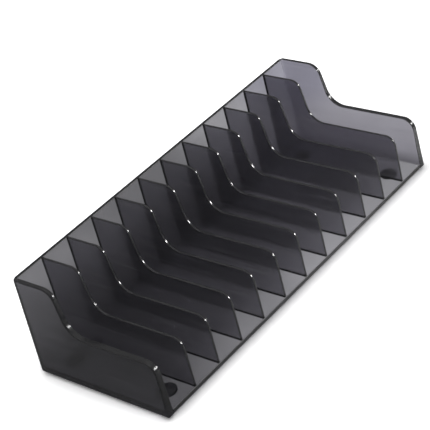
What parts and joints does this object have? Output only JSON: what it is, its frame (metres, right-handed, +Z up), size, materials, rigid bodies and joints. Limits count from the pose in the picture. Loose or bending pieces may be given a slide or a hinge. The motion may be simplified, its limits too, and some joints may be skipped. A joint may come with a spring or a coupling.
{
  "type": "divided card deck tray",
  "caption": "Smoked see-through tray with an open front, stepped end walls and matching stepped dividers that make equal upright slots for boxed decks of cards.",
  "frame": {"origin": "middle of the tray's footprint, on the surface its feet stand on", "axes": "+X along the row of slots towards the right end wall, +Y from the open front to the back wall, +Z up"},
  "size_m": [0.3048, 0.1142, 0.0762],
  "materials": {
    "smoked_panel": "polished, see-through smoke grey",
    "foot_rubber": "matte black",
    "adhesive": "thin dark adhesive film"
  },
  "bodies": {
    "root": {"floor_panel": "smoked_panel", "back_wall": "smoked_panel", "left_end_wall": "smoked_panel", "right_end_wall": "smoked_panel", "divider_01": "smoked_panel", "divider_02": "smoked_panel", "divider_03": "smoked_panel", "divider_04": "smoked_panel", "divider_05": "smoked_panel", "divider_06": "smoked_panel", "divider_07": "smoked_panel", "divider_08": "smoked_panel", "divider_09": "smoked_panel", "divider_10": "smoked_panel", "divider_11": "smoked_panel", "front_left_foot": "foot_rubber", "front_right_foot": "foot_rubber", "rear_left_foot": "foot_rubber", "rear_right_foot": "foot_rubber", "front_left_foot_adhesive": "adhesive", "front_right_foot_adhesive": "adhesive", "rear_left_foot_adhesive": "adhesive", "rear_right_foot_adhesive": "adhesive"}
  },
  "joints": []
}
